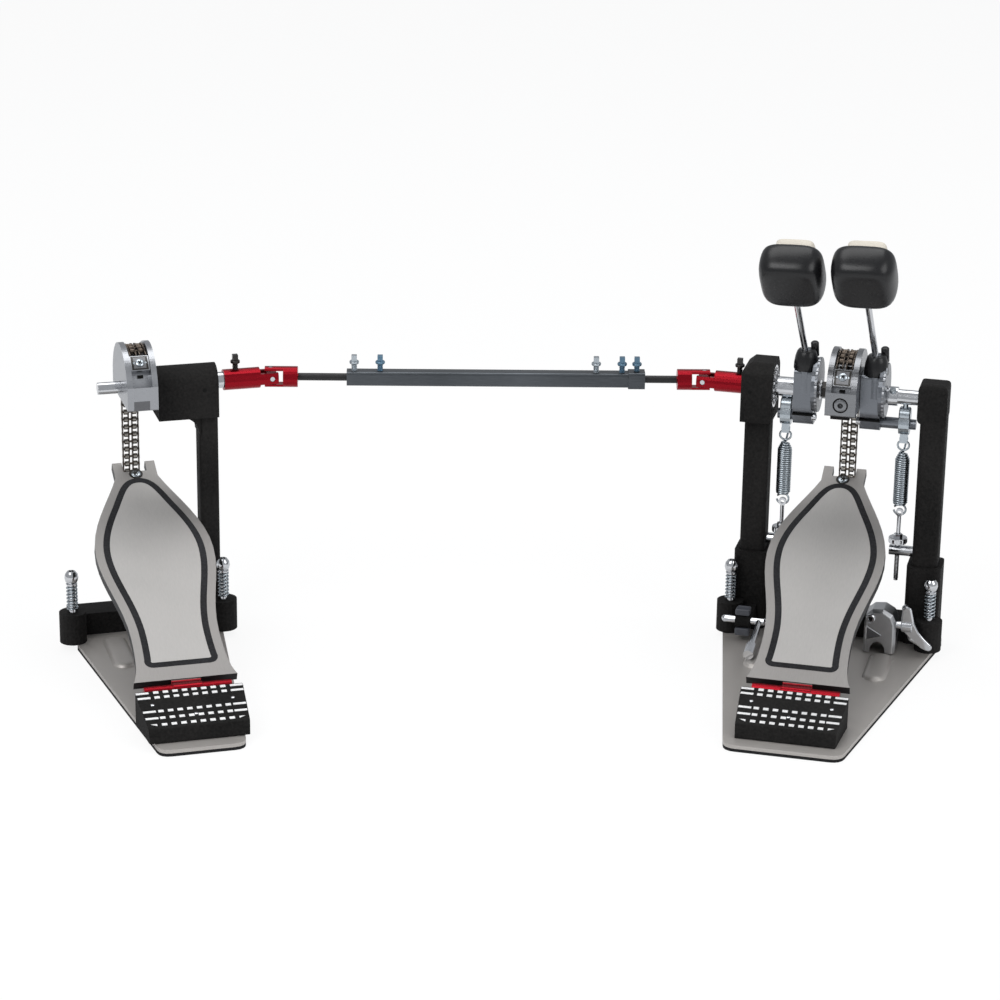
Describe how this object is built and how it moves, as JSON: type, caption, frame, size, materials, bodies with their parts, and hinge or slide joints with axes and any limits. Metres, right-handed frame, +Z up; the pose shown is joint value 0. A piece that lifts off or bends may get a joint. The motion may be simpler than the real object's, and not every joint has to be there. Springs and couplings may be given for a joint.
{
  "type": "bass drum pedal",
  "caption": "Double bass drum pedal with a linked slave pedal, chain drive cams, leaning beaters, return springs and a telescoping drive shaft.",
  "frame": {"origin": "on the floor under the middle of the primary pedal axle", "axes": "+X along the drive shaft away from the slave pedal, +Y towards the drum, +Z up"},
  "size_m": [0.7197, 0.3254, 0.356],
  "materials": {
    "steel": "brushed warm grey plate",
    "rubber": "matt black sheet",
    "black_coat": "black textured powder coat",
    "red_anodised": "red anodised",
    "aluminium": "brushed and satin",
    "chain_steel": "oiled roller chain",
    "black_plastic": "black gloss",
    "felt": "cream felt",
    "gunmetal": "brushed gunmetal",
    "chrome": "polished"
  },
  "bodies": {
    "primary_frame": {"primary_base_plate": "steel", "primary_base_pad": "rubber", "primary_heel_plate": "black_coat", "primary_hinge": "red_anodised", "primary_casting": "black_coat", "primary_post_left": "black_coat", "primary_post_right": "black_coat", "primary_bearing": "chrome", "toe_clamp_block": "chrome"},
    "primary_rotor": {"primary_main_shaft": "chrome", "primary_cam": "aluminium", "primary_chain_wrap": "chain_steel", "right_beater_hub": "aluminium"},
    "drive_rotor": {"primary_drive_sleeve": "chrome", "left_beater_hub": "aluminium", "primary_yoke": "red_anodised"},
    "slave_frame": {"slave_base_plate": "steel", "slave_base_pad": "rubber", "slave_heel_plate": "black_coat", "slave_hinge": "red_anodised", "slave_casting": "black_coat", "slave_bearing": "chrome"},
    "slave_rotor": {"slave_axle": "chrome", "slave_cam": "aluminium", "slave_chain_wrap": "chain_steel", "slave_yoke": "red_anodised"},
    "drive_shaft_right": {"drive_tube": "gunmetal", "drive_yoke_right": "red_anodised"},
    "drive_shaft_left": {"drive_yoke_left": "red_anodised"},
    "primary_joint_cross": {"primary_cross": "chrome"},
    "slave_joint_cross": {"slave_cross": "chrome"},
    "key": {"drum_key": "chrome"},
    "wing_screw": {"toe_clamp_wing": "chrome"},
    "hoop_jaw": {"toe_clamp_jaw": "chrome"},
    "primary_board": {"primary_footboard": "aluminium"},
    "primary_upper_link": {"primary_chain_link_1": "chain_steel"},
    "primary_lower_link": {"primary_chain_link_2": "chain_steel"},
    "primary_drop": {"primary_chain_drop": "chain_steel"},
    "primary_left_spur": {"primary_spur_left": "chrome"},
    "primary_right_spur": {"primary_spur_right": "chrome"},
    "slave_board": {"slave_footboard": "aluminium"},
    "slave_upper_link": {"slave_chain_link_1": "chain_steel"},
    "slave_lower_link": {"slave_chain_link_2": "chain_steel"},
    "slave_drop": {"slave_chain_drop": "chain_steel"},
    "slave_left_spur": {"slave_spur_left": "chrome"},
    "slave_right_spur": {"slave_spur_right": "chrome"},
    "left_rod": {"left_beater_shaft": "chrome"},
    "left_beater": {"left_beater_head": "black_plastic", "left_beater_felt": "felt"},
    "left_hanger": {"left_spring_hanger": "chrome"},
    "left_anchor": {"left_eye_bolt": "chrome", "left_spring_swivel": "chrome"},
    "left_coil": {"left_spring": "chrome"},
    "right_rod": {"right_beater_shaft": "chrome"},
    "right_beater": {"right_beater_head": "black_plastic", "right_beater_felt": "felt"},
    "right_hanger": {"right_spring_hanger": "chrome"},
    "right_anchor": {"right_eye_bolt": "chrome", "right_spring_swivel": "chrome"},
    "right_coil": {"right_spring": "chrome"}
  },
  "joints": [
    {"name": "primary_swing", "type": "hinge", "parent": "primary_frame", "child": "primary_rotor", "pos_m": [0, 0, 0.211], "axis": [-0.9659, 0.2588, 0], "range_deg": [0, 45.5], "stiffness_Nm_per_rad": 1.5, "springref_deg": -20.05},
    {"name": "pedal_spacing", "type": "slide", "parent": "primary_frame", "child": "slave_frame", "axis": [1, 0, 0], "range_m": [-0.04, 0.03]},
    {"name": "slave_swing", "type": "hinge", "parent": "slave_frame", "child": "slave_rotor", "pos_m": [-0.566, 0.00155, 0.211], "axis": [-0.9659, -0.2588, 0], "range_deg": [0, 45.5], "stiffness_Nm_per_rad": 1.5, "springref_deg": -20.05},
    {"name": "primary_board_tilt", "type": "hinge", "parent": "primary_frame", "child": "primary_board", "pos_m": [-0.04968, -0.18541, 0.0275], "axis": [-0.9659, 0.2588, 0], "range_deg": [0, 6.5]},
    {"name": "primary_chain_bend_1", "type": "hinge", "parent": "primary_rotor", "child": "primary_upper_link", "pos_m": [0.00802, 0.02105, 0.23384], "axis": [-0.9659, 0.2588, 0], "range_deg": [-11.7, 0]},
    {"name": "primary_chain_bend_2", "type": "hinge", "parent": "primary_upper_link", "child": "primary_lower_link", "pos_m": [0.00986, 0.0279, 0.22339], "axis": [-0.9659, 0.2588, 0], "range_deg": [-23, 0]},
    {"name": "primary_chain_bend_3", "type": "hinge", "parent": "primary_lower_link", "child": "primary_drop", "pos_m": [0.0105, 0.03031, 0.211], "axis": [-0.9659, 0.2588, 0], "range_deg": [-18.3, 0]},
    {"name": "primary_left_spur_height", "type": "slide", "parent": "primary_frame", "child": "primary_left_spur", "axis": [0, 0, 1], "range_m": [0, 0.015]},
    {"name": "primary_right_spur_height", "type": "slide", "parent": "primary_frame", "child": "primary_right_spur", "axis": [0, 0, 1], "range_m": [0, 0.015]},
    {"name": "slave_board_tilt", "type": "hinge", "parent": "slave_frame", "child": "slave_board", "pos_m": [-0.51632, -0.18385, 0.0275], "axis": [-0.9659, -0.2588, 0], "range_deg": [0, 6.5]},
    {"name": "slave_chain_bend_1", "type": "hinge", "parent": "slave_rotor", "child": "slave_upper_link", "pos_m": [-0.57402, 0.0226, 0.23384], "axis": [-0.9659, -0.2588, 0], "range_deg": [-11.7, 0]},
    {"name": "slave_chain_bend_2", "type": "hinge", "parent": "slave_upper_link", "child": "slave_lower_link", "pos_m": [-0.57586, 0.02946, 0.22339], "axis": [-0.9659, -0.2588, 0], "range_deg": [-23, 0]},
    {"name": "slave_chain_bend_3", "type": "hinge", "parent": "slave_lower_link", "child": "slave_drop", "pos_m": [-0.5765, 0.03187, 0.211], "axis": [-0.9659, -0.2588, 0], "range_deg": [-18.3, 0]},
    {"name": "slave_left_spur_height", "type": "slide", "parent": "slave_frame", "child": "slave_left_spur", "axis": [0, 0, 1], "range_m": [0, 0.015]},
    {"name": "slave_right_spur_height", "type": "slide", "parent": "slave_frame", "child": "slave_right_spur", "axis": [0, 0, 1], "range_m": [0, 0.015]},
    {"name": "drive_swing", "type": "hinge", "parent": "primary_frame", "child": "drive_rotor", "pos_m": [0, 0, 0.211], "axis": [-0.9659, 0.2588, 0], "range_deg": [0, 45.5]},
    {"name": "primary_cross_tilt", "type": "hinge", "parent": "drive_rotor", "child": "primary_joint_cross", "pos_m": [-0.11012, 0.0295, 0.211], "axis": [0.2588, 0.9659, 0], "range_deg": [-11.1, 0]},
    {"name": "slave_cross_tilt", "type": "hinge", "parent": "slave_rotor", "child": "slave_joint_cross", "pos_m": [-0.46168, 0.0295, 0.211], "axis": [-0.2588, 0.9659, 0], "range_deg": [0, 11.1]},
    {"name": "right_shaft_turn", "type": "hinge", "parent": "primary_frame", "child": "drive_shaft_right", "pos_m": [-0.11012, 0.0295, 0.211], "axis": [-1, 0, 0], "range_deg": [0, 45.5]},
    {"name": "left_shaft_turn", "type": "hinge", "parent": "slave_frame", "child": "drive_shaft_left", "pos_m": [-0.46168, 0.0295, 0.211], "axis": [-1, 0, 0], "range_deg": [0, 45.5]},
    {"name": "left_beater_height", "type": "slide", "parent": "drive_rotor", "child": "left_rod", "axis": [-0.203, -0.5823, 0.7872], "range_m": [-0.012, 0.016]},
    {"name": "left_beater_turn", "type": "hinge", "parent": "left_rod", "child": "left_beater", "pos_m": [-0.05131, -0.05613, 0.31772], "axis": [-0.203, -0.5823, 0.7872], "range_deg": [0, 180]},
    {"name": "left_hanger_turn", "type": "hinge", "parent": "drive_rotor", "child": "left_hanger", "pos_m": [-0.04385, 0.01175, 0.1885], "axis": [-0.9659, 0.2588, 0], "range_deg": [-53.8, 0]},
    {"name": "left_spring_tilt", "type": "hinge", "parent": "primary_frame", "child": "left_anchor", "pos_m": [-0.04385, 0.01175, 0.0804], "axis": [-0.9659, 0.2588, 0], "range_deg": [-8.3, 0]},
    {"name": "left_spring_stretch", "type": "slide", "parent": "left_anchor", "child": "left_coil", "axis": [0, 0, 1], "range_m": [0, 0.0085], "deforming": ["left_spring"]},
    {"name": "right_beater_height", "type": "slide", "parent": "primary_rotor", "child": "right_rod", "axis": [-0.203, -0.5823, 0.7872], "range_m": [-0.012, 0.016]},
    {"name": "right_beater_turn", "type": "hinge", "parent": "right_rod", "child": "right_beater", "pos_m": [0.00326, -0.07076, 0.31772], "axis": [-0.203, -0.5823, 0.7872], "range_deg": [-180, 0]},
    {"name": "right_hanger_turn", "type": "hinge", "parent": "primary_rotor", "child": "right_hanger", "pos_m": [0.04868, -0.01304, 0.1885], "axis": [-0.9659, 0.2588, 0], "range_deg": [-53.8, 0]},
    {"name": "right_spring_tilt", "type": "hinge", "parent": "primary_frame", "child": "right_anchor", "pos_m": [0.04868, -0.01304, 0.0804], "axis": [-0.9659, 0.2588, 0], "range_deg": [-8.3, 0]},
    {"name": "right_spring_stretch", "type": "slide", "parent": "right_anchor", "child": "right_coil", "axis": [0, 0, 1], "range_m": [0, 0.0085], "deforming": ["right_spring"]},
    {"name": "key_removal", "type": "slide", "parent": "primary_frame", "child": "key", "axis": [0.9659, -0.2588, 0], "range_m": [0, 0.03]},
    {"name": "wing_turn", "type": "hinge", "parent": "primary_frame", "child": "wing_screw", "pos_m": [0.04606, -0.0522, 0.0305], "axis": [-0.9659, 0.2588, 0], "range_deg": [0, 180]},
    {"name": "jaw_open", "type": "hinge", "parent": "primary_frame", "child": "hoop_jaw", "pos_m": [0.00802, 0.02994, 0.025], "axis": [0.9659, -0.2588, 0], "range_deg": [0, 9]}
  ],
  "couplings": [
    {"joint": "primary_board_tilt", "follows": "primary_swing", "ratio": 0.13579},
    {"joint": "primary_chain_bend_1", "follows": "primary_swing", "ratio": -0.25},
    {"joint": "primary_chain_bend_2", "follows": "primary_swing", "ratio": -0.5},
    {"joint": "primary_chain_bend_3", "follows": "primary_swing", "ratio": -0.39628},
    {"joint": "slave_board_tilt", "follows": "slave_swing", "ratio": 0.13579},
    {"joint": "slave_chain_bend_1", "follows": "slave_swing", "ratio": -0.25},
    {"joint": "slave_chain_bend_2", "follows": "slave_swing", "ratio": -0.5},
    {"joint": "slave_chain_bend_3", "follows": "slave_swing", "ratio": -0.39628},
    {"joint": "drive_swing", "follows": "slave_swing", "ratio": 1},
    {"joint": "primary_cross_tilt", "follows": "slave_swing", "ratio": -0.23773},
    {"joint": "slave_cross_tilt", "follows": "slave_swing", "ratio": 0.23773},
    {"joint": "right_shaft_turn", "follows": "slave_swing", "ratio": 1},
    {"joint": "left_shaft_turn", "follows": "slave_swing", "ratio": 1},
    {"joint": "left_hanger_turn", "follows": "slave_swing", "ratio": -1.1748},
    {"joint": "left_spring_tilt", "follows": "slave_swing", "ratio": -0.17479},
    {"joint": "left_spring_stretch", "follows": "slave_swing", "m_per_rad": 0.00989},
    {"joint": "right_hanger_turn", "follows": "primary_swing", "ratio": -1.1748},
    {"joint": "right_spring_tilt", "follows": "primary_swing", "ratio": -0.17479},
    {"joint": "right_spring_stretch", "follows": "primary_swing", "m_per_rad": 0.00989},
    {"joint": "jaw_open", "follows": "wing_turn", "ratio": 0.05}
  ]
}
